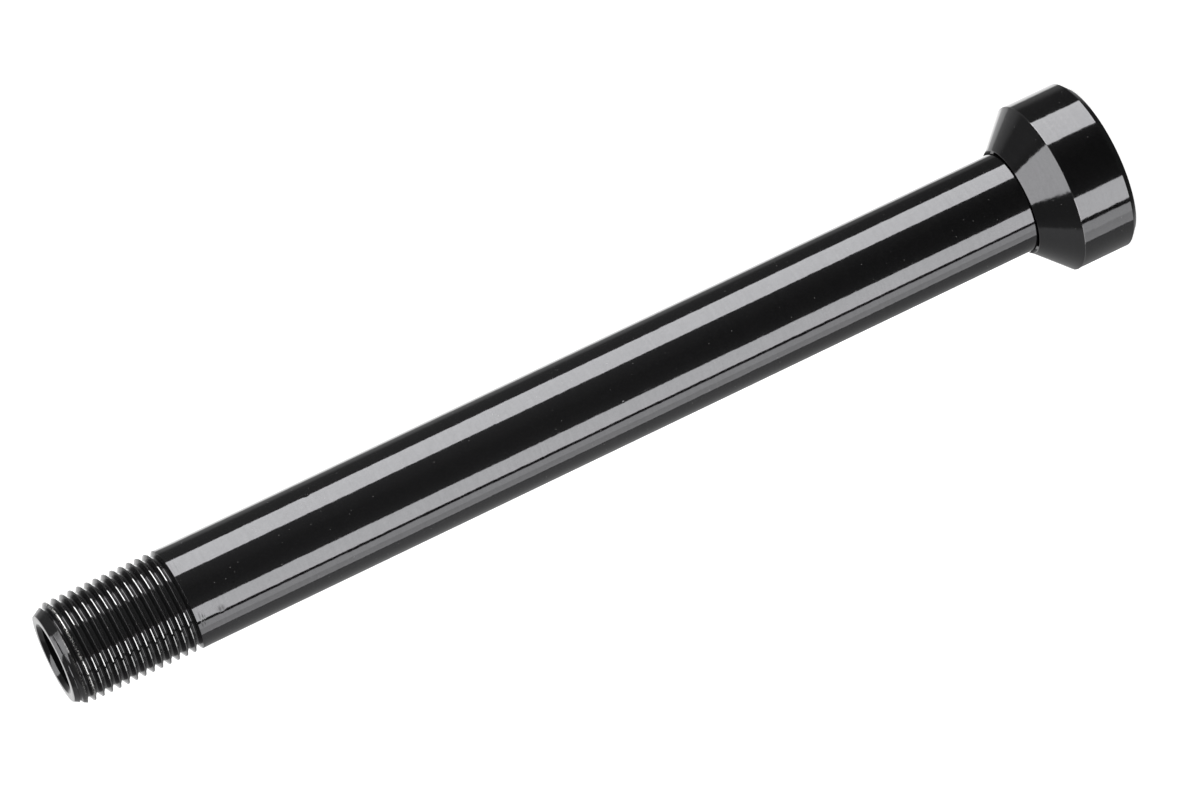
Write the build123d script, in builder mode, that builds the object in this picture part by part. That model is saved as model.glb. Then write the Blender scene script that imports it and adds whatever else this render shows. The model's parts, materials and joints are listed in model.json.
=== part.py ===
from build123d import *
import math
import os

# Bicycle thru axle: one aluminium bar that is turned, threaded, drilled, broached and anodised.
# It stands on its head. The origin is the centre of the head's outer face, and +Z runs along the axle
# to the thread.

# Shaft and tip, in millimetres and degrees
shaft_diameter = 11.85
reach = 118.81  # from the lip under the head to the thread's end face
lead_in_depth = 0.84  # from the crests in to the end face
lead_in_angle = 30.0  # of the lead-in to the axis

# Thread, right-handed
thread_diameter = 11.88  # over the crests
thread_pitch = 1.0
thread_length = 14.7  # from the end face to where the cutter starts to lift out
flank_angle = 60.0  # between the two flanks of the groove
crest_flat = 0.125
root_flat = 0.165
run_out_turn = 0.28  # share of a turn in which the cutter lifts out
thread_start_angle = 166.0  # where that begins, counted about +Z from +X
land_length = 0.8  # from the middle of the groove's lowest full turn down to the taper
taper_length = 0.6  # over which the bar narrows from the crests to the shaft

# Head
head_diameter = 20.0
rim_length = 7.0
rim_chamfer = 0.75
seat_angle = 45.0  # of the conical seat to the axis
shoulder_width = 0.385  # from the shaft's surface out to the seat's small end
lip_width = 0.08  # of the flat lip at the seat's small end
relief_depth = 0.45  # of the groove between the lip and the shaft
relief_height = 0.02  # of that groove's edge on the shaft above the lip
edge_radius = 0.1  # of the seat's and the rim's outer edges

# Bore and drive socket
bore_diameter = 7.4
bore_mouth_chamfer = 0.45
drill_point_angle = 118.0
socket_across_flats = 6.0
socket_depth = 8.0  # from the head's outer face to where the flats meet the drill's cone
socket_mouth_diameter = 7.6

# Worked-out sizes of the turned outline
shaft_radius = shaft_diameter / 2
crest_radius = thread_diameter / 2
tip_radius = crest_radius - lead_in_depth
head_radius = head_diameter / 2
shoulder_radius = shaft_radius + shoulder_width
seat_length = (head_radius - shoulder_radius) / math.tan(math.radians(seat_angle))
shoulder_height = rim_length + seat_length
lip_radius = shoulder_radius - lip_width
shaft_foot = shoulder_height + relief_height
relief_floor = shoulder_height - relief_depth
relief_radius = shaft_radius - (shaft_foot - relief_floor)  # the groove undercuts the shaft at 45 degrees
overall_length = shoulder_height + reach
thread_foot = overall_length - thread_length
taper_top = thread_foot - land_length
taper_foot = taper_top - taper_length

# Worked-out sizes of the bore: the drill's full diameter starts at bore_floor
bore_radius = bore_diameter / 2
drill_slope = math.tan(math.radians(drill_point_angle / 2))
bore_floor = socket_depth + (bore_radius - socket_across_flats / 2) / drill_slope
drill_tip = bore_floor - bore_radius / drill_slope
socket_mouth_radius = socket_mouth_diameter / 2

# Worked-out sizes of the thread cutter, whose profile stands a little out of the bar
flank_slope = math.tan(math.radians(flank_angle / 2))
groove_width = thread_pitch - crest_flat
groove_depth = (groove_width - root_flat) / 2 / flank_slope
overshoot = crest_flat / 2
cutter_width = groove_width + 2 * overshoot * flank_slope
cutter_height = groove_depth + overshoot
run_out_height = run_out_turn * thread_pitch
run_out_angle = math.atan2(cutter_height, run_out_height)

# The bar is threaded over-long and then faced to length, so the groove ends in waste
waste_length = 3 * thread_pitch
waste_radius = crest_radius + thread_pitch
lead_in_drop = (waste_radius - tip_radius) / math.tan(math.radians(lead_in_angle))

os.makedirs("parts", exist_ok=True)

# The cutter's path: a helix on the crests, and a conical one at its foot that lifts the cutter out
thread_path = Helix(
    thread_pitch,
    thread_length + waste_length / 2,
    crest_radius,
    center=(0, 0, thread_foot),
).rotate(Axis.Z, thread_start_angle)
run_out_path = Helix(
    thread_pitch / math.cos(run_out_angle),
    run_out_height,
    crest_radius,
    center=(0, 0, thread_foot),
    direction=(0, 0, -1),
    cone_angle=math.degrees(run_out_angle),
).rotate(Axis.Z, thread_start_angle + 180)
cutter_start = thread_path @ 0
cutter_plane = Plane(
    origin=cutter_start,
    x_dir=(cutter_start.X, cutter_start.Y, 0),
    z_dir=thread_path % 0,
)

with BuildPart() as thru_axle:
    # The turned outline, with the shaft still over-long
    with BuildSketch(Plane.XZ):
        with BuildLine():
            Polyline(
                (0, 0),
                (head_radius, 0),
                (head_radius, rim_length),
                (shoulder_radius, shoulder_height),
                (lip_radius, shoulder_height),
                (lip_radius, relief_floor),
                (relief_radius, relief_floor),
                (shaft_radius, shaft_foot),
                (shaft_radius, taper_foot),
                (crest_radius, taper_top),
                (crest_radius, overall_length + waste_length),
                (0, overall_length + waste_length),
                close=True,
            )
        make_face()
    revolve(axis=Axis.Z)
    foot_edge = thru_axle.edges().filter_by(GeomType.CIRCLE).group_by(Axis.Z)[0]
    chamfer(foot_edge, rim_chamfer)
    for height in (rim_chamfer, rim_length, shoulder_height):
        outer_edge = thru_axle.edges().filter_by_position(Axis.Z, height, height).sort_by(SortBy.RADIUS)[-1]
        fillet(outer_edge, edge_radius)

    # The thread groove and its run-out
    for path in (thread_path, run_out_path):
        with BuildSketch(cutter_plane):
            with BuildLine():
                Polyline(
                    (-groove_depth, -root_flat / 2),
                    (overshoot, -cutter_width / 2),
                    (overshoot, cutter_width / 2),
                    (-groove_depth, root_flat / 2),
                    close=True,
                )
            make_face()
        sweep(path=path, is_frenet=True, mode=Mode.SUBTRACT)

    # The tip: faced to length, with the lead-in turned across the first crests
    with BuildSketch(Plane.XZ):
        with BuildLine():
            Polyline(
                (0, overall_length),
                (tip_radius, overall_length),
                (waste_radius, overall_length - lead_in_drop),
                (waste_radius, overall_length + 2 * waste_length),
                (0, overall_length + 2 * waste_length),
                close=True,
            )
        make_face()
    revolve(axis=Axis.Z, mode=Mode.SUBTRACT)

    # The bore from the tip, with the drill's cone at its end and a chamfered mouth
    with BuildSketch(Plane.XZ):
        with BuildLine():
            Polyline(
                (0, drill_tip),
                (bore_radius, bore_floor),
                (bore_radius, overall_length),
                (0, overall_length),
                close=True,
            )
        make_face()
    revolve(axis=Axis.Z, mode=Mode.SUBTRACT)
    end_face = thru_axle.faces().sort_by(Axis.Z)[-1]
    chamfer(end_face.edges().sort_by(SortBy.RADIUS)[0], bore_mouth_chamfer)

    # The drive socket, which opens into the bore, and its countersunk mouth
    with BuildSketch(Plane.XY):
        RegularPolygon(socket_across_flats / 2, 6, major_radius=False)
    extrude(amount=bore_floor, mode=Mode.SUBTRACT)
    with BuildSketch(Plane.XZ):
        with BuildLine():
            Polyline(
                (0, 0),
                (socket_mouth_radius, 0),
                (0, socket_mouth_radius),
                close=True,
            )
        make_face()
    revolve(axis=Axis.Z, mode=Mode.SUBTRACT)

thru_axle.part.label = "thru_axle"
export_step(thru_axle.part, "parts/thru_axle.step")
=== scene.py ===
import json
import math

import bmesh
import bpy
from bpy.props import FloatProperty, FloatVectorProperty, IntProperty, PointerProperty
from bpy.types import Operator, Panel, PropertyGroup
from mathutils import Matrix, Quaternion, Vector


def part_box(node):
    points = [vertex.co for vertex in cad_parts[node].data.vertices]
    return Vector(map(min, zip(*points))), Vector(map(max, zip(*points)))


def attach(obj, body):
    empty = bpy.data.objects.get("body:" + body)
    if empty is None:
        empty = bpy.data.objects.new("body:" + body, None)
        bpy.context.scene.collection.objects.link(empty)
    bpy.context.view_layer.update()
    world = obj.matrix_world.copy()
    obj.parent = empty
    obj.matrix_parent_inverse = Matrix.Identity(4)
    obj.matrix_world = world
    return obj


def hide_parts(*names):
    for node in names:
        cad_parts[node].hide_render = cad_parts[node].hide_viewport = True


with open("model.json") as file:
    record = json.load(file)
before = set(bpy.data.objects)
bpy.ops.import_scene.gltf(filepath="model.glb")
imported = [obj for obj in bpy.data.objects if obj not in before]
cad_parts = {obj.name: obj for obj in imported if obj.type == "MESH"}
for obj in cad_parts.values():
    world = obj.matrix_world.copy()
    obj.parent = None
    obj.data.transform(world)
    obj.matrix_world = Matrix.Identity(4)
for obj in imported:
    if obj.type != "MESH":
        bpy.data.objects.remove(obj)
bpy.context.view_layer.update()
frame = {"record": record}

bl_info = {
    "name": "Bicycle thru axle",
    "version": (1, 0, 0),
    "blender": (4, 5, 0),
    "location": "3D View > Sidebar > Thru axle",
    "description": "A turned and threaded thru axle in black anodised aluminium, on a white studio floor",
    "category": "Add Mesh",
}

MM = 0.001
NODE = "thru_axle"
BODY = "root"
WEAR = "edge_wear"
MOUNTS = {mount["name"]: mount for mount in frame["record"]["mounts"]}

# Steps in the arc of one rounded edge
EDGE_STEPS = 3
CREST_STEPS = 3
ROOT_STEPS = 2

# Two more points on each flank, at these shares of its length, keep its shading flat
FLANK_HOLD = (0.06, 0.94)

# The run-out ends as a scratch of this share of the groove's depth
LEAST_DEPTH = 0.02
MERGE_DISTANCE = 0.0001 * MM
SHARP_ANGLE = math.radians(32)

# The unwrapped surface: head and lower shaft, upper shaft and thread, bore and socket
UV_STRIPS = 3
UV_MARGIN = 0.01

# The camera stands where the photograph was taken from, turned on its side
CAMERA_PLACE = Vector((0.0, -668.89, 220.365)) * MM
CAMERA_AIM = Vector((0.203, 0.0, 62.728)) * MM
CAMERA_ROLL = math.radians(115.506)
LENS = 188.143
SENSOR_WIDTH = 36.0
CLIP_START = 10 * MM

# Dents and scratches on the shaft, up to the thread, in millimetres and degrees: height, direction
# about +Z from +X, half length, half width and depth
MARKS = (
    (97.8, -44.7, 0.5, 0.3, 0.012),
    (114.5, -57, 0.1, 1.6, 0.004),
    (114.05, -57, 0.1, 1.6, 0.004),
    (114.08, -116, 0.14, 0.7, 0.016),
    (113.77, -117.5, 0.11, 0.45, 0.014),
    (113.55, -118.5, 0.1, 0.35, 0.011),
    (114.08, -127, 0.13, 0.5, 0.015),
    (113.77, -126.5, 0.1, 0.35, 0.012),
    (111.6, -119, 0.6, 0.6, 0.014),
    (109.3, -98, 0.25, 0.15, 0.01),
    (105.6, -113, 0.22, 0.25, 0.003),
    (62.0, -104.4, 0.14, 0.14, 0.01),
    (59.3, -103.6, 1.6, 0.09, 0.003),
    (46.8, -148.6, 0.2, 0.07, 0.006),
)

# Sizes of the finish's patterns; a turning mark is long round the axle and fine along it
LATHE_SIZE = (9.0 * MM, 9.0 * MM, 0.22 * MM)
GRAIN_SIZE = 0.14 * MM
MOTTLE_SIZE = 0.6 * MM
RIPPLE_SIZE = 0.9 * MM
RIPPLE_HEIGHT = 0.006 * MM
CHIP_SIZE = 0.4 * MM
FLECK_SIZE = 0.13 * MM
DUST_CELL = 0.8 * MM

# The dye's palest and deepest places, as shares of its colour
PALE_SHARE = 1.3
DEEP_SHARE = 0.7

# Scratches are tinted with this dull colour, and the cut surfaces are darkened with it as painted shade
SCUFF_AND_SHADE_COLOUR = "#101010"

# How metallic the polished and the cut surfaces are
POLISHED_METALLIC = 0.96
CUT_METALLIC = 0.78

# White paper of the floor, and how much it glows for the camera alone
PAPER_COLOUR = "#e0e0e0"
PAPER_GLOW = 0.9

# The dim room round the axle: its level in each direction, in degrees from the camera towards +X
ROOM = (
    (-90, 0.22),
    (-69.5, 0.22),
    (-68.5, 0.02),
    (-62, 0.02),
    (-61, 0.3),
    (-28, 0.24),
    (-10, 0.15),
    (10, 0.14),
    (28, 0.22),
    (44, 0.3),
    (100, 0.26),
    (122, 0.22),
    (130, 0.5),
    (146, 0.6),
    (195, 0.42),
    (220, 0.5),
    (240, 0.6),
    (258, 0.72),
    (261, 0.22),
)

# The room is darker low down, least on the -X side and most of all under the camera
ROOM_DARK_BELOW = math.radians(-19)
ROOM_FULL_ABOVE = math.radians(-13)
ROOM_SIDES = (-0.4, 0.4)
ROOM_LOW_LOSS = (0.25, 0.5)
ROOM_FRONT = (-0.9, -0.6)
FRONT_LOW_LOSS = 0.45

# Towards straight below it is much darker still
NADIR_START = math.radians(-35)
NADIR_FULL = math.radians(-50)
NADIR_SHARE = 0.2

# Above these heights the walls give way to a plain ceiling
CEILING_START = math.radians(52)
CEILING_FULL = math.radians(58)
CEILING_LEVEL = 0.17

# Floor and light panels, in metres and degrees
FLOOR_RADIUS = 4.0
FLOOR_SIDES = 64
PANEL_DISTANCE = 0.6
PANEL_FOOT = -0.25
PANEL_HEAD = 0.15
FAR_SIDE_SHARE = 0.75
BACKDROP_DISTANCE = 2.0
TOP_PANEL_PLACE = Vector((0.1312, -0.1872, 0.6))
TOP_PANEL_SIZE = (0.455, 0.383)
TOP_PANEL_TWIST = math.radians(33.5)

# The backdrop gets dimmer upwards: name, its two sides, foot, head and share of the full level
BACKDROPS = (
    ("backdrop", 146, 192, -0.75, 0.1, 1.0),
    ("backdrop_top", 146, 192, 0.1, 0.5, 0.46),
    ("backdrop_high", 152, 202, 0.5, 0.88, 0.34),
)


class AxleSizes(PropertyGroup):
    """Sizes of the axle, as in the CAD part"""

    head_radius: FloatProperty(
        name="Head radius",
        description="Radius of the head's rim",
        default=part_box(NODE)[1].x,
        unit="LENGTH",
    )
    overall_length: FloatProperty(
        name="Overall length",
        description="From the head's outer face to the thread's end face",
        default=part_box(NODE)[1].z,
        unit="LENGTH",
    )
    shaft_radius: FloatProperty(
        name="Shaft radius",
        description="Radius of the plain shaft",
        default=MOUNTS["shaft"]["dims"]["r_mm"] * MM,
        unit="LENGTH",
    )
    crest_radius: FloatProperty(
        name="Crest radius",
        description="Radius over the thread's crests",
        default=MOUNTS["thread"]["dims"]["r_mm"] * MM,
        unit="LENGTH",
    )
    thread_length: FloatProperty(
        name="Thread length",
        description="From the end face to where the cutter starts to lift out",
        default=MOUNTS["thread"]["dims"]["length_mm"] * MM,
        unit="LENGTH",
    )
    thread_pitch: FloatProperty(
        name="Thread pitch",
        description="Height of one turn of the right-hand thread",
        default=1.0 * MM,
        unit="LENGTH",
    )
    flank_angle: FloatProperty(
        name="Flank angle",
        description="Angle between the groove's two flanks",
        default=math.radians(60),
        subtype="ANGLE",
    )
    crest_flat: FloatProperty(
        name="Crest flat",
        description="Width of a crest before its edges are rounded",
        default=0.125 * MM,
        unit="LENGTH",
    )
    root_flat: FloatProperty(
        name="Root flat",
        description="Width of the groove's floor before its corners are rounded",
        default=0.165 * MM,
        unit="LENGTH",
    )
    crest_rounding: FloatProperty(
        name="Crest rounding",
        description="Radius of a crest's edges",
        default=0.03 * MM,
        unit="LENGTH",
    )
    root_rounding: FloatProperty(
        name="Root rounding",
        description="Radius of the groove's corners",
        default=0.115 * MM,
        unit="LENGTH",
    )
    run_out_turn: FloatProperty(
        name="Run-out",
        description="Share of a turn in which the cutter lifts out of the bar",
        default=0.28,
        subtype="FACTOR",
    )
    thread_start_angle: FloatProperty(
        name="Thread start",
        description="Where the run-out begins, counted about +Z from +X",
        default=math.radians(166),
        subtype="ANGLE",
    )
    land_length: FloatProperty(
        name="Land",
        description="From the groove's lowest full turn down to the taper",
        default=0.8 * MM,
        unit="LENGTH",
    )
    taper_length: FloatProperty(
        name="Taper",
        description="Length over which the bar narrows from the crests to the shaft",
        default=0.6 * MM,
        unit="LENGTH",
    )
    lead_in_depth: FloatProperty(
        name="Lead-in depth",
        description="From the crests in to the end face",
        default=0.84 * MM,
        unit="LENGTH",
    )
    lead_in_angle: FloatProperty(
        name="Lead-in angle",
        description="Angle of the lead-in to the axis",
        default=math.radians(30),
        subtype="ANGLE",
    )
    rim_length: FloatProperty(
        name="Rim length",
        description="From the head's outer face to the conical seat",
        default=7.0 * MM,
        unit="LENGTH",
    )
    rim_chamfer: FloatProperty(
        name="Rim chamfer",
        description="Chamfer round the head's outer face",
        default=0.75 * MM,
        unit="LENGTH",
    )
    seat_angle: FloatProperty(
        name="Seat angle",
        description="Angle of the conical seat to the axis",
        default=math.radians(45),
        subtype="ANGLE",
    )
    shoulder_width: FloatProperty(
        name="Shoulder width",
        description="From the shaft's surface out to the seat's small end",
        default=0.385 * MM,
        unit="LENGTH",
    )
    lip_width: FloatProperty(
        name="Lip width",
        description="Flat lip at the seat's small end",
        default=0.08 * MM,
        unit="LENGTH",
    )
    relief_depth: FloatProperty(
        name="Relief depth",
        description="Depth of the groove between the lip and the shaft",
        default=0.45 * MM,
        unit="LENGTH",
    )
    relief_height: FloatProperty(
        name="Relief height",
        description="Height of that groove's edge on the shaft above the lip",
        default=0.02 * MM,
        unit="LENGTH",
    )
    edge_radius: FloatProperty(
        name="Edge radius",
        description="Radius of the seat's and the rim's outer edges",
        default=0.1 * MM,
        unit="LENGTH",
    )
    edge_break: FloatProperty(
        name="Edge break",
        description="Radius of the edges of the end faces, the socket and the bore",
        default=0.05 * MM,
        unit="LENGTH",
    )
    bore_radius: FloatProperty(
        name="Bore radius",
        description="Radius of the hole from the threaded end",
        default=3.7 * MM,
        unit="LENGTH",
    )
    bore_mouth_chamfer: FloatProperty(
        name="Bore chamfer",
        description="Chamfer round the bore's mouth",
        default=0.45 * MM,
        unit="LENGTH",
    )
    drill_point_angle: FloatProperty(
        name="Drill point",
        description="Angle of the drill's cone at the bore's end",
        default=math.radians(118),
        subtype="ANGLE",
    )
    socket_across_flats: FloatProperty(
        name="Socket across flats",
        description="Size of the hex key that fits the drive socket",
        default=6.0 * MM,
        unit="LENGTH",
    )
    socket_depth: FloatProperty(
        name="Socket depth",
        description="From the head's outer face to where the flats meet the drill's cone",
        default=8.0 * MM,
        unit="LENGTH",
    )
    socket_mouth_radius: FloatProperty(
        name="Socket mouth radius",
        description="Radius of the socket's countersunk mouth",
        default=3.8 * MM,
        unit="LENGTH",
    )
    columns: IntProperty(
        name="Columns",
        description="Faces round the axle, a multiple of six so that the socket's corners are sharp",
        default=192,
        min=48,
    )


class AxleFinish(PropertyGroup):
    """Colours and gloss of the anodised surface"""

    dye: FloatVectorProperty(
        name="Dye",
        description="sRGB colour of the anodised surface",
        default=(0x3E / 255, 0x3E / 255, 0x3F / 255),
        size=3,
        min=0,
        max=1,
        subtype="COLOR_GAMMA",
    )
    roughness: FloatProperty(
        name="Roughness",
        description="Roughness of the anodised surface",
        default=0.07,
        subtype="FACTOR",
    )
    cut_roughness: FloatProperty(
        name="Cut roughness",
        description="Roughness of the thread's groove, the lead-in and the bore",
        default=0.085,
        subtype="FACTOR",
    )
    worn: FloatVectorProperty(
        name="Worn edges",
        description="sRGB colour of the crests and edges where the dye is thin",
        default=(0x6E / 255, 0x6E / 255, 0x6E / 255),
        size=3,
        min=0,
        max=1,
        subtype="COLOR_GAMMA",
    )
    bare: FloatVectorProperty(
        name="Bare metal",
        description="sRGB colour of the chipped first crests",
        default=(0xB4 / 255, 0xB3 / 255, 0xB0 / 255),
        size=3,
        min=0,
        max=1,
        subtype="COLOR_GAMMA",
    )
    dust: FloatVectorProperty(
        name="Dust",
        description="sRGB colour of the specks of dust",
        default=(0x58 / 255, 0x57 / 255, 0x56 / 255),
        size=3,
        min=0,
        max=1,
        subtype="COLOR_GAMMA",
    )


class StudioSettings(PropertyGroup):
    """Strength of the lights round the axle, as the radiance of each panel"""

    key: FloatProperty(name="Key panel", description="Panel on the +X side", default=9.2)
    fill: FloatProperty(name="Fill panel", description="Panel on the -X side", default=7.5)
    side: FloatProperty(name="Side panel", description="Dimmer panel behind the fill", default=3.85)
    top: FloatProperty(name="Top panel", description="Panel overhead", default=5.6)
    back: FloatProperty(name="Backdrop", description="Bright backdrop behind the axle", default=1.5)
    room: FloatProperty(name="Room", description="Share of the dim room's level", default=1.0)


def linear(srgb):
    """Linear value of one sRGB channel from 0 to 1."""
    return srgb / 12.92 if srgb <= 0.04045 else ((srgb + 0.055) / 1.055) ** 2.4


def linear_colour(srgb):
    """Linear RGBA of an sRGB hex string or of three sRGB channels from 0 to 1."""
    if isinstance(srgb, str):
        srgb = [int(srgb[place:place + 2], 16) / 255 for place in (1, 3, 5)]
    return (*(linear(channel) for channel in srgb), 1.0)


def add_node(tree, kind, inputs=(), **settings):
    """Adds a node with its settings; each input is given a value or linked from an output."""
    made = tree.nodes.new(kind)
    for name, value in settings.items():
        setattr(made, name, value)
    for socket, value in dict(inputs).items():
        if isinstance(value, bpy.types.NodeSocket):
            tree.links.new(value, made.inputs[socket])
        else:
            made.inputs[socket].default_value = value
    return made


# Shape of the axle: one outline of (radius, height) points in each of many half-planes round the axis

def rounded(corners, steps):
    """Points of an outline of (radius, height, rounding) corners; the two end corners only give directions.

    Each point's third number is its wear, which is 1 in the middle of a rounded outer edge and else 0.
    """
    outline = []
    for before, corner, after in zip(corners, corners[1:], corners[2:]):
        point = Vector(corner[:2])
        rounding = corner[2]
        if rounding == 0:
            outline.append(point.to_3d())
            continue
        back = (Vector(before[:2]) - point).normalized()
        ahead = (Vector(after[:2]) - point).normalized()
        half_angle = back.angle(ahead) / 2
        centre = point + (back + ahead).normalized() * rounding / math.sin(half_angle)
        start = (point + back * rounding / math.tan(half_angle) - centre).normalized()
        end = (point + ahead * rounding / math.tan(half_angle) - centre).normalized()
        is_outer = back.cross(ahead) < 0
        for step in range(steps + 1):
            on_arc = centre + start.slerp(end, step / steps) * rounding
            outline.append(Vector((*on_arc, is_outer and 0 < step < steps)))
    return outline


def head_outline(sizes):
    """Outline from the head's outer face over the rim, the seat and the shaft to the thread's land."""
    shoulder_radius = sizes.shaft_radius + sizes.shoulder_width
    seat_length = (sizes.head_radius - shoulder_radius) / math.tan(sizes.seat_angle)
    shoulder = sizes.rim_length + seat_length
    lip_radius = shoulder_radius - sizes.lip_width
    shaft_foot = shoulder + sizes.relief_height
    relief_floor = shoulder - sizes.relief_depth
    taper_top = sizes.overall_length - sizes.thread_length - sizes.land_length
    taper_foot = taper_top - sizes.taper_length
    corners = (
        (0, 0, 0),
        (sizes.head_radius - sizes.rim_chamfer, 0, sizes.edge_break),
        (sizes.head_radius, sizes.rim_chamfer, sizes.edge_radius),
        (sizes.head_radius, sizes.rim_length, sizes.edge_radius),
        (shoulder_radius, shoulder, sizes.edge_radius),
        (lip_radius, shoulder, sizes.edge_break / 2),
        (lip_radius, relief_floor, 0),
        (sizes.shaft_radius - (shaft_foot - relief_floor), relief_floor, 0),
        (sizes.shaft_radius, shaft_foot, sizes.edge_break),
        (sizes.shaft_radius, (shoulder + taper_foot) / 2, 0),
        (sizes.shaft_radius, taper_foot, 0),
        (sizes.crest_radius, taper_top, 0),
        (sizes.crest_radius, sizes.overall_length, 0),
    )
    return rounded(corners, EDGE_STEPS)


def groove_outline(sizes, height, lift):
    """Outline of one turn of the thread groove, with the cutter lifted out by some height."""
    flank_slope = math.tan(sizes.flank_angle / 2)
    full_depth = (sizes.thread_pitch - sizes.crest_flat - sizes.root_flat) / 2 / flank_slope
    depth = max(full_depth - lift, full_depth * LEAST_DEPTH)
    root = sizes.crest_radius - depth
    half_root = sizes.root_flat / 2
    half_width = half_root + depth * flank_slope
    low = (sizes.crest_radius, height - half_width, sizes.crest_rounding)
    low_root = (root, height - half_root, sizes.root_rounding)
    high_root = (root, height + half_root, sizes.root_rounding)
    high = (sizes.crest_radius, height + half_width, sizes.crest_rounding)
    below = (sizes.crest_radius, height - sizes.thread_pitch, 0)
    above = (sizes.crest_radius, height + sizes.thread_pitch, 0)
    low_crest = rounded((below, low, low_root), CREST_STEPS)
    roots = rounded((low, low_root, high_root, high), ROOT_STEPS)
    high_crest = rounded((high_root, high, above), CREST_STEPS)
    low_flank = [low_crest[-1].lerp(roots[0], share) for share in FLANK_HOLD]
    high_flank = [roots[-1].lerp(high_crest[0], share) for share in FLANK_HOLD]
    outline = low_crest + low_flank + roots + high_flank + high_crest
    # The crests are worn on their flats, between the groove's turns
    for point in outline:
        point.z = 0
    outline[0].z = outline[-1].z = 1
    return outline


def turned_off(outline, cone_radius, end):
    """The outline with what stands out of the lead-in's cone turned off, up to the cone's end point."""
    room = [cone_radius(point.y) - point.x for point in outline]
    cut = []
    for place, point in enumerate(outline):
        if room[place] < 0:
            nearby = [near for near in (place - 1, place + 1) if 0 <= near < len(outline)]
            inside = [near for near in nearby if room[near] >= 0]
            if inside:
                share = room[inside[0]] / (room[inside[0]] - room[place])
                point = outline[inside[0]].lerp(point, share)
                point.z = 0
            else:
                point = Vector((cone_radius(point.y), point.y, 0))
        cut.append(point if point.y < end.y else end.copy())
    return cut


def end_outline(sizes, socket_radius):
    """Outline from the lead-in over the end face, down the bore and out of the drive socket."""
    tip_radius = sizes.crest_radius - sizes.lead_in_depth
    lead_in_length = sizes.lead_in_depth / math.tan(sizes.lead_in_angle)
    drill_slope = math.tan(sizes.drill_point_angle / 2)
    flat_radius = sizes.socket_across_flats / 2
    top = sizes.overall_length
    corners = (
        (sizes.crest_radius, top - lead_in_length, 0),
        (tip_radius, top, sizes.edge_break),
        (sizes.bore_radius + sizes.bore_mouth_chamfer, top, sizes.edge_break),
        (sizes.bore_radius, top - sizes.bore_mouth_chamfer, sizes.edge_break),
        (sizes.bore_radius, sizes.socket_depth + (sizes.bore_radius - flat_radius) / drill_slope, 0),
        (socket_radius, sizes.socket_depth + (socket_radius - flat_radius) / drill_slope, 0),
        (socket_radius, sizes.socket_mouth_radius - socket_radius, 0),
        (sizes.socket_mouth_radius, 0, sizes.edge_break),
        (sizes.head_radius, 0, 0),
    )
    return rounded(corners, EDGE_STEPS)


def axle_outlines(sizes):
    """One outline for each column, and the thread's first row, rows in a turn and the row after it."""
    column_angle = math.tau / sizes.columns
    seam_angle = sizes.thread_start_angle - sizes.run_out_turn * math.tau
    seam_angle = round(seam_angle / column_angle) * column_angle
    run_out = (sizes.thread_start_angle - seam_angle) / math.tau
    thread_foot = sizes.overall_length - sizes.thread_length
    seam_height = thread_foot - run_out * sizes.thread_pitch
    turns = math.ceil((sizes.overall_length - seam_height) / sizes.thread_pitch) + 1
    groove_room = sizes.thread_pitch - sizes.crest_flat / 2
    full_lift = groove_room / 2 / math.tan(sizes.flank_angle / 2)
    tip_radius = sizes.crest_radius - sizes.lead_in_depth
    head = head_outline(sizes)

    def cone_radius(height):
        return tip_radius + (sizes.overall_length - height) * math.tan(sizes.lead_in_angle)

    outlines = []
    for column in range(sizes.columns):
        angle = seam_angle + column * column_angle
        to_corner = (angle + math.pi / 6) % (math.pi / 3) - math.pi / 6
        to_flat = math.pi / 6 - abs(to_corner)
        end = end_outline(sizes, sizes.socket_across_flats / 2 / math.cos(to_flat))
        thread = []
        for turn in range(turns):
            along = turn + column / sizes.columns
            lift = max(1 - along / run_out, 0) * full_lift
            thread += groove_outline(sizes, seam_height + along * sizes.thread_pitch, lift)
        # The land under the thread isn't worn
        thread[0].z = 0
        outlines.append((angle, head + turned_off(thread, cone_radius, end[0]) + end))
    rows_in_turn = len(thread) // turns
    return outlines, len(head), rows_in_turn, len(head) + len(thread)


def axle_faces(columns, rows, first, turn, last):
    """Faces as lists of (column, row) corners; in the last column the thread's rows go on one turn up."""
    faces = []
    for column in range(columns):
        wraps = column == columns - 1
        for row in range(rows):
            corners = []
            square = ((column, row), (column, row + 1), (column + 1, row + 1), (column + 1, row))
            for side, height in square:
                if wraps and side == columns and first <= height < last:
                    height = min(height + turn, last)
                if (side, height) not in corners:
                    corners.append((side, height))
            if wraps and row == first - 1:
                climb = [(columns, height) for height in range(first - 1, first + turn + 1)]
                faces.append([(column, first - 1), climb[0], (column, first)])
                faces += [[(column, first), low, high] for low, high in zip(climb, climb[1:])]
            elif len(corners) > 2:
                faces.append(corners[::-1])
    return faces


def outline_lengths(outline):
    """Length along an outline at each of its points, and at its first point again."""
    lengths = [0.0]
    for point, after in zip(outline, outline[1:] + outline[:1]):
        lengths.append(lengths[-1] + (after.xy - point.xy).length)
    return lengths


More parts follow.
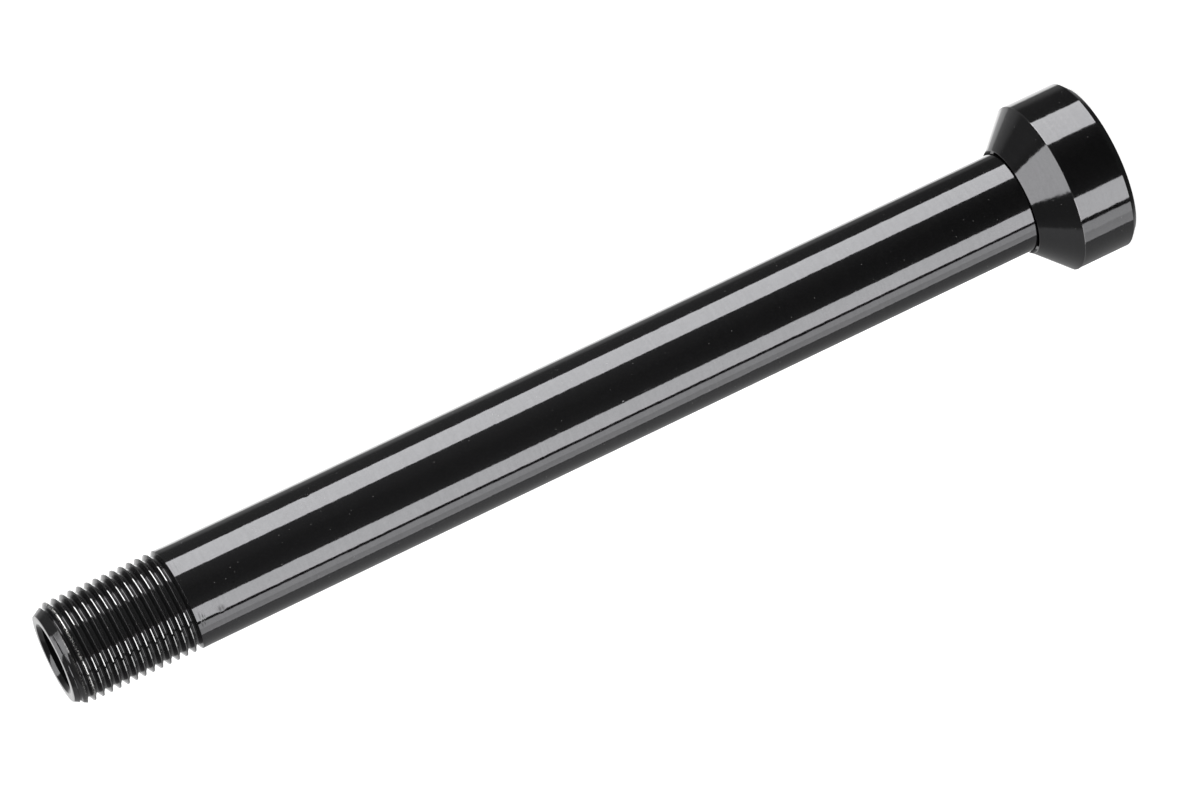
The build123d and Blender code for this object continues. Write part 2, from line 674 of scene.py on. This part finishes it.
def turn_axle(sizes):
    """Mesh of the axle, with the wear of its edges and its surface unwrapped in three strips."""
    outlines, first, turn, last = axle_outlines(sizes)
    columns = sizes.columns
    rows = len(outlines[0][1])
    vertices = []
    for angle, outline in outlines:
        spoke = Vector((math.cos(angle), math.sin(angle), 0))
        vertices += [spoke * point.x + Vector((0, 0, point.y)) for point in outline]
    faces = axle_faces(columns, rows, first, turn, last)
    indices = [[side % columns * rows + row % rows for side, row in face] for face in faces]
    mesh = bpy.data.meshes.new(NODE)
    mesh.from_pydata(vertices, [], indices)
    wear = mesh.attributes.new(WEAR, "FLOAT", "POINT")
    wear.data.foreach_set("value", [point.z for _, outline in outlines for point in outline])

    # The middle of the shaft is the third row before the thread
    middle = first - 3
    borders = (0, middle, last, rows)
    lengths = [outline_lengths(outline) for _, outline in outlines]
    strips = list(zip(borders, borders[1:]))
    longest = max(line[high] - line[low] for line in lengths for low, high in strips)
    layer = mesh.uv_layers.new(name="OFBake")
    for polygon, face in zip(mesh.polygons, faces):
        lowest = min(row for _, row in face)
        strip = sum(lowest >= border for border in borders[1:-1])
        for loop, (side, row) in zip(polygon.loop_indices, face):
            line = lengths[side % columns]
            across = UV_MARGIN + side / columns * (1 - 2 * UV_MARGIN)
            along = (line[row] - line[borders[strip]]) / longest
            layer.data[loop].uv = ((strip + across) / UV_STRIPS, UV_MARGIN + along * (1 - 2 * UV_MARGIN))

    shape = bmesh.new()
    shape.from_mesh(mesh)
    bmesh.ops.remove_doubles(shape, verts=shape.verts, dist=MERGE_DISTANCE)
    bmesh.ops.dissolve_degenerate(shape, edges=shape.edges, dist=MERGE_DISTANCE)
    bmesh.ops.recalc_face_normals(shape, faces=shape.faces)
    shape.to_mesh(mesh)
    shape.free()
    mesh.shade_smooth()
    mesh.set_sharp_from_angle(angle=SHARP_ANGLE)
    return mesh


# Finish of the axle

def noise(tree, place, size, detail=1.0):
    """Noise of a feature size in metres, or of one size along each axis."""
    sizes = size if isinstance(size, tuple) else (size, size, size)
    scale = [1 / each for each in sizes]
    stretched = add_node(tree, "ShaderNodeMapping", {"Vector": place, "Scale": scale})
    return add_node(
        tree,
        "ShaderNodeTexNoise",
        {"Vector": stretched.outputs[0], "Scale": 1.0, "Detail": detail},
    ).outputs["Fac"]


def ranged(tree, value, from_min, from_max, to_min, to_max):
    """The value brought from one range to another, and held inside it."""
    limits = {"From Min": from_min, "From Max": from_max, "To Min": to_min, "To Max": to_max}
    return add_node(tree, "ShaderNodeMapRange", {"Value": value, **limits}).outputs["Result"]


def calculated(tree, operation, *values):
    """The result of one calculation."""
    return add_node(tree, "ShaderNodeMath", dict(enumerate(values)), operation=operation).outputs[0]


def mixed(tree, share, low, high):
    """A colour between two colours."""
    return add_node(tree, "ShaderNodeMix", {0: share, 6: low, 7: high}, data_type="RGBA").outputs[2]


def dents(tree, place, radius):
    """Depth of the few dents and scratches on the shaft, as a share of the deepest one."""
    deepest = max(mark[4] for mark in MARKS)
    depth = 0.0
    for height, angle, half_length, half_width, mark_depth in MARKS:
        turn = math.radians(angle)
        centre = Vector((math.cos(turn) * radius, math.sin(turn) * radius, height * MM))
        local = add_node(
            tree,
            "ShaderNodeMapping",
            {
                "Vector": place,
                "Location": centre,
                "Rotation": (0, 0, turn),
                "Scale": (half_width * MM, half_width * MM, half_length * MM),
            },
            vector_type="TEXTURE",
        )
        local_place = local.outputs[0]
        mark = add_node(tree, "ShaderNodeTexGradient", {"Vector": local_place}, gradient_type="SPHERICAL")
        depth = calculated(tree, "MULTIPLY_ADD", mark.outputs["Fac"], mark_depth / deepest, depth)
    return depth, deepest * MM


def anodised_material(finish, sizes):
    """Black anodised aluminium, turned on a lathe.

    The dyed oxide is dark and glossy, so the eye sees mostly the lights, as hard-edged stripes along it.
    Thin lines of paler metal on the crests and edges, a fine grain, a few dents and scratches and specks of
    dust break up the black.
    """
    material = bpy.data.materials.new("black_anodised_aluminium")
    material.use_nodes = True
    tree = material.node_tree
    tree.nodes.clear()
    place = add_node(tree, "ShaderNodeTexCoord").outputs["Object"]

    # Turning marks run round the axle, fine along it; the etched skin has a grain and is a little wavy
    lathe = noise(tree, place, LATHE_SIZE, 2.0)
    grain = noise(tree, place, GRAIN_SIZE, 2.0)
    mottle = noise(tree, place, MOTTLE_SIZE, 3.0)
    ripple = noise(tree, place, RIPPLE_SIZE)
    dye = linear_colour(finish.dye)
    pale = tuple(min(channel * PALE_SHARE, 1.0) for channel in dye[:3]) + (1.0,)
    deep = tuple(channel * DEEP_SHARE for channel in dye[:3]) + (1.0,)
    fine = calculated(tree, "MULTIPLY_ADD", lathe, 0.3, calculated(tree, "MULTIPLY", grain, 0.5))
    texture = calculated(tree, "MULTIPLY_ADD", mottle, 0.2, fine)
    dyed = mixed(tree, texture, deep, pale)

    # The dye is thin on the crests and the outer edges, in places of about 0.4 mm
    edges = add_node(tree, "ShaderNodeAttribute", attribute_name=WEAR).outputs["Fac"]
    chips = ranged(tree, noise(tree, place, CHIP_SIZE, 2.0), 0.38, 0.62, 0.7, 1.0)
    worn = calculated(tree, "MULTIPLY", edges, chips)
    metal = mixed(tree, worn, dyed, linear_colour(finish.worn))

    # The first crests are chipped to bare metal along the lead-in, in flecks of about 0.1 mm
    height = add_node(tree, "ShaderNodeSeparateXYZ", {"Vector": place}).outputs["Z"]
    flat_place = add_node(tree, "ShaderNodeVectorMath", {0: place, 1: (1, 1, 0)}, operation="MULTIPLY")
    to_axis = add_node(tree, "ShaderNodeVectorMath", {0: flat_place.outputs[0]}, operation="LENGTH")
    radius = to_axis.outputs["Value"]
    crest = sizes.crest_radius
    lead_in_foot = sizes.overall_length - sizes.lead_in_depth / math.tan(sizes.lead_in_angle)
    first_crests = ranged(tree, height, lead_in_foot - 1.2 * MM, lead_in_foot - 0.6 * MM, 0.0, 1.0)
    by_crests = ranged(tree, radius, crest - 0.3 * MM, crest - 0.12 * MM, 0.0, 1.0)
    flecks = ranged(tree, noise(tree, place, FLECK_SIZE, 2.0), 0.53, 0.57, 0.0, 1.0)
    bare = calculated(tree, "MULTIPLY", calculated(tree, "MULTIPLY", by_crests, first_crests), flecks)
    chipped = mixed(tree, bare, metal, linear_colour(finish.bare))

    # The bore and, at the thread, all that lies below the crests are cut and not polished
    thread_foot = sizes.overall_length - sizes.thread_length - sizes.thread_pitch
    in_thread = calculated(tree, "GREATER_THAN", height, thread_foot)
    in_bore = calculated(tree, "LESS_THAN", radius, sizes.bore_radius + 0.05 * MM)
    below_crests = ranged(tree, radius, crest - 0.14 * MM, crest - 0.06 * MM, 1.0, 0.0)
    matt = calculated(tree, "MULTIPLY", below_crests, calculated(tree, "MAXIMUM", in_thread, in_bore))
    polish = ranged(tree, lathe, 0.3, 0.7, finish.roughness * 0.8, finish.roughness * 1.25)
    cut = calculated(tree, "MULTIPLY_ADD", matt, finish.cut_roughness - finish.roughness, polish)
    roughness = calculated(tree, "MULTIPLY_ADD", bare, 0.3, cut)

    # Specks of dust about 0.1 mm across, in half the 0.8 mm cells whose middle is close to the surface
    cells = add_node(tree, "ShaderNodeTexVoronoi", {"Vector": place, "Scale": 1 / DUST_CELL})
    dot = ranged(tree, cells.outputs["Distance"], 0.045, 0.07, 1.0, 0.0)
    dust = calculated(tree, "MULTIPLY", dot, calculated(tree, "GREATER_THAN", cells.outputs["Color"], 0.5))

    # Dents and scratches are dull; the cut surfaces, the lead-in most of all, get painted shade in the same
    # dark colour
    depth, deepest = dents(tree, place, sizes.shaft_radius)
    streaks = ranged(tree, lathe, 0.4, 0.6, 0.45, 1.0)
    scuffs = calculated(tree, "MULTIPLY", ranged(tree, depth, 0.0, 0.7, 0.0, 0.75), streaks)
    # Painted shade: how far the groove, the lead-in and the bore are darkened towards the dull colour
    cut_shade_share = ranged(tree, height, lead_in_foot - 0.1 * MM, lead_in_foot + 0.1 * MM, 0.15, 0.35)
    scuff_and_shade = calculated(tree, "MULTIPLY_ADD", matt, cut_shade_share, scuffs)
    # Mixes in the dull colour: real scuffs on the shaft, and painted shade on the cut surfaces
    scuffed_and_shaded = mixed(tree, scuff_and_shade, chipped, linear_colour(SCUFF_AND_SHADE_COLOUR))
    colour = mixed(tree, dust, scuffed_and_shaded, linear_colour(finish.dust))
    metallic = ranged(tree, matt, 0.0, 1.0, POLISHED_METALLIC, CUT_METALLIC)

    # The skin is wavy by a few thousandths of a millimetre, and the dents go as deep as they are listed
    skin = add_node(tree, "ShaderNodeBump", {"Height": ripple, "Distance": RIPPLE_HEIGHT})
    marks = add_node(
        tree,
        "ShaderNodeBump",
        {"Height": depth, "Distance": deepest, "Normal": skin.outputs["Normal"]},
        invert=True,
    )
    surface = add_node(
        tree,
        "ShaderNodeBsdfPrincipled",
        {
            "Base Color": colour,
            "Metallic": calculated(tree, "SUBTRACT", metallic, dust),
            "Roughness": roughness,
            "Normal": marks.outputs["Normal"],
        },
    )
    add_node(tree, "ShaderNodeOutputMaterial", {"Surface": surface.outputs["BSDF"]})
    return material


# Studio

def floor_material():
    """White paper: it looks white to the camera and keeps a faint shadow of the axle."""
    material = bpy.data.materials.new("white_paper")
    material.use_nodes = True
    tree = material.node_tree
    tree.nodes.clear()
    path = add_node(tree, "ShaderNodeLightPath")
    paper = add_node(tree, "ShaderNodeBsdfDiffuse", {"Color": linear_colour(PAPER_COLOUR)})
    glow = add_node(tree, "ShaderNodeEmission", {"Color": (1, 1, 1, 1), "Strength": PAPER_GLOW})
    both = add_node(tree, "ShaderNodeAddShader", {0: paper.outputs[0], 1: glow.outputs[0]})
    shown = add_node(
        tree,
        "ShaderNodeMixShader",
        {0: path.outputs["Is Camera Ray"], 1: paper.outputs[0], 2: both.outputs[0]},
    )
    add_node(tree, "ShaderNodeOutputMaterial", {"Surface": shown.outputs[0]})
    return material


def dim_room(scene, share):
    """A world that is white behind the floor's far edge and a dim room to the axle."""
    world = bpy.data.worlds.new("dim_room")
    scene.world = world
    world.use_nodes = True
    tree = world.node_tree
    tree.nodes.clear()
    path = add_node(tree, "ShaderNodeLightPath")
    way = add_node(tree, "ShaderNodeTexCoord").outputs["Generated"]
    around = add_node(tree, "ShaderNodeTexGradient", {"Vector": way}, gradient_type="RADIAL")
    walls = add_node(tree, "ShaderNodeValToRGB", {"Fac": around.outputs["Fac"]})
    stops = walls.color_ramp.elements
    while len(stops) < len(ROOM):
        stops.new(0.5)
    for stop, (angle, level) in zip(stops, ROOM):
        stop.position = (angle + 90) / 360
        stop.color = (level, level, level, 1)
    axes = add_node(tree, "ShaderNodeSeparateXYZ", {"Vector": way}).outputs
    height = axes["Z"]
    side_loss = ranged(tree, axes["X"], *ROOM_SIDES, *ROOM_LOW_LOSS)
    front_loss = ranged(tree, axes["Y"], *ROOM_FRONT, FRONT_LOW_LOSS, 0.0)
    loss = calculated(tree, "ADD", side_loss, front_loss)
    low = ranged(tree, height, math.sin(ROOM_DARK_BELOW), math.sin(ROOM_FULL_ABOVE), share, 0.0)
    walls_level = calculated(tree, "SUBTRACT", share, calculated(tree, "MULTIPLY", loss, low))
    nadir = ranged(tree, height, math.sin(NADIR_FULL), math.sin(NADIR_START), NADIR_SHARE, 1.0)
    level = calculated(tree, "MULTIPLY", walls_level, nadir)
    overhead = ranged(tree, height, math.sin(CEILING_START), math.sin(CEILING_FULL), 0.0, 1.0)
    ceiling = (CEILING_LEVEL, CEILING_LEVEL, CEILING_LEVEL, 1)
    inside = mixed(tree, overhead, walls.outputs["Color"], ceiling)
    room = add_node(tree, "ShaderNodeBackground", {"Color": inside, "Strength": level})
    white = add_node(tree, "ShaderNodeBackground", {"Color": (1, 1, 1, 1), "Strength": 1.0})
    shown = add_node(
        tree,
        "ShaderNodeMixShader",
        {0: path.outputs["Is Camera Ray"], 1: room.outputs[0], 2: white.outputs[0]},
    )
    add_node(tree, "ShaderNodeOutputWorld", {"Surface": shown.outputs[0]})


def hang_panel(name, centre, across, along, radiance):
    """Hangs a rectangular soft panel with its two side vectors; it shines along their cross product."""
    light = bpy.data.lights.new(name, "AREA")
    light.shape = "RECTANGLE"
    light.size = across.length
    light.size_y = along.length
    light.energy = radiance * math.pi * across.length * along.length
    panel = bpy.data.objects.new(name, light)
    right = across.normalized()
    up = along.normalized()
    turn = Matrix((right, up, right.cross(up))).transposed()
    panel.matrix_world = Matrix.Translation(centre) @ turn.to_4x4()
    panel.visible_camera = False
    bpy.context.scene.collection.objects.link(panel)


def stand_panel(name, start, end, radiance, low=PANEL_FOOT, high=PANEL_HEAD, distance=PANEL_DISTANCE):
    """Stands a panel between two directions round the axle, in degrees from the camera towards +X."""
    feet = [
        Vector((math.sin(angle), -math.cos(angle), 0)) * distance
        for angle in (math.radians(start), math.radians(end))
    ]
    centre = (feet[0] + feet[1]) / 2 + Vector((0, 0, (low + high) / 2))
    hang_panel(name, centre, feet[1] - feet[0], Vector((0, 0, high - low)), radiance)


def stand_camera(scene):
    """Puts the camera at the photograph's place, turned on its side as the photograph shows the axle."""
    camera = bpy.data.objects.new("camera", bpy.data.cameras.new("camera"))
    camera.data.lens = LENS
    camera.data.sensor_width = SENSOR_WIDTH
    camera.data.sensor_fit = "HORIZONTAL"
    camera.data.clip_start = CLIP_START
    upright = (CAMERA_AIM - CAMERA_PLACE).to_track_quat("-Z", "Y")
    camera.rotation_mode = "QUATERNION"
    camera.rotation_quaternion = upright @ Quaternion((0, 0, 1), -CAMERA_ROLL)
    camera.location = CAMERA_PLACE
    scene.collection.objects.link(camera)
    scene.camera = camera


class THRU_AXLE_OT_turn_axle(Operator):
    """Turn the axle with its thread, bore and socket, and anodise it"""

    bl_idname = "thru_axle.turn_axle"
    bl_label = "Turn axle"

    def execute(self, context):
        axle = bpy.data.objects.new("axle", turn_axle(context.scene.axle_sizes))
        context.scene.collection.objects.link(axle)
        axle.data.materials.append(anodised_material(context.scene.axle_finish, context.scene.axle_sizes))
        normals = axle.modifiers.new("weighted_normals", "WEIGHTED_NORMAL")
        normals.keep_sharp = True
        normals.thresh = 0
        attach(axle, BODY)
        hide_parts(NODE)
        return {"FINISHED"}


class THRU_AXLE_OT_set_studio(Operator):
    """Lay the floor, hang the light panels and place the camera"""

    bl_idname = "thru_axle.set_studio"
    bl_label = "Set up studio"

    def execute(self, context):
        scene = context.scene
        studio = scene.axle_studio
        scene.view_settings.view_transform = "Standard"
        dim_room(scene, studio.room)

        floor_mesh = bpy.data.meshes.new("floor")
        floor_shape = bmesh.new()
        bmesh.ops.create_circle(floor_shape, cap_ends=True, segments=FLOOR_SIDES, radius=FLOOR_RADIUS)
        floor_shape.to_mesh(floor_mesh)
        floor_shape.free()
        floor = bpy.data.objects.new("floor", floor_mesh)
        floor.data.materials.append(floor_material())
        floor.visible_glossy = False
        floor.visible_shadow = False
        scene.collection.objects.link(floor)

        stand_panel("key_panel", 46.3, 87.2, studio.key)
        stand_panel("fill_panel", -62.2, -30.8, studio.fill)
        stand_panel("side_panel", -83, -68.6, studio.side)
        stand_panel("far_side_panel", -99, -83, studio.side * FAR_SIDE_SHARE)
        for name, start, end, low, high, share in BACKDROPS:
            stand_panel(name, start, end, studio.back * share, low, high, BACKDROP_DISTANCE)
        twist = Matrix.Rotation(TOP_PANEL_TWIST, 3, "Z")
        across = twist @ Vector((TOP_PANEL_SIZE[0], 0, 0))
        along = twist @ Vector((0, TOP_PANEL_SIZE[1], 0))
        hang_panel("top_panel", TOP_PANEL_PLACE, across, along, studio.top)
        stand_camera(scene)
        return {"FINISHED"}


class THRU_AXLE_PT_sidebar(Panel):
    """Sizes, finish and studio of the thru axle"""

    bl_idname = "THRU_AXLE_PT_sidebar"
    bl_label = "Thru axle"
    bl_space_type = "VIEW_3D"
    bl_region_type = "UI"
    bl_category = "Thru axle"

    def draw(self, context):
        for group in (context.scene.axle_sizes, context.scene.axle_finish, context.scene.axle_studio):
            column = self.layout.column(align=True)
            for name in group.__annotations__:
                column.prop(group, name)
        self.layout.operator(THRU_AXLE_OT_turn_axle.bl_idname)
        self.layout.operator(THRU_AXLE_OT_set_studio.bl_idname)


CLASSES = (
    AxleSizes,
    AxleFinish,
    StudioSettings,
    THRU_AXLE_OT_turn_axle,
    THRU_AXLE_OT_set_studio,
    THRU_AXLE_PT_sidebar,
)


def register():
    for cls in CLASSES:
        bpy.utils.register_class(cls)
    bpy.types.Scene.axle_sizes = PointerProperty(type=AxleSizes)
    bpy.types.Scene.axle_finish = PointerProperty(type=AxleFinish)
    bpy.types.Scene.axle_studio = PointerProperty(type=StudioSettings)


def unregister():
    del bpy.types.Scene.axle_studio
    del bpy.types.Scene.axle_finish
    del bpy.types.Scene.axle_sizes
    for cls in reversed(CLASSES):
        bpy.utils.unregister_class(cls)


def main():
    register()
    bpy.ops.thru_axle.turn_axle()
    bpy.ops.thru_axle.set_studio()


if __name__ == "__main__":
    main()
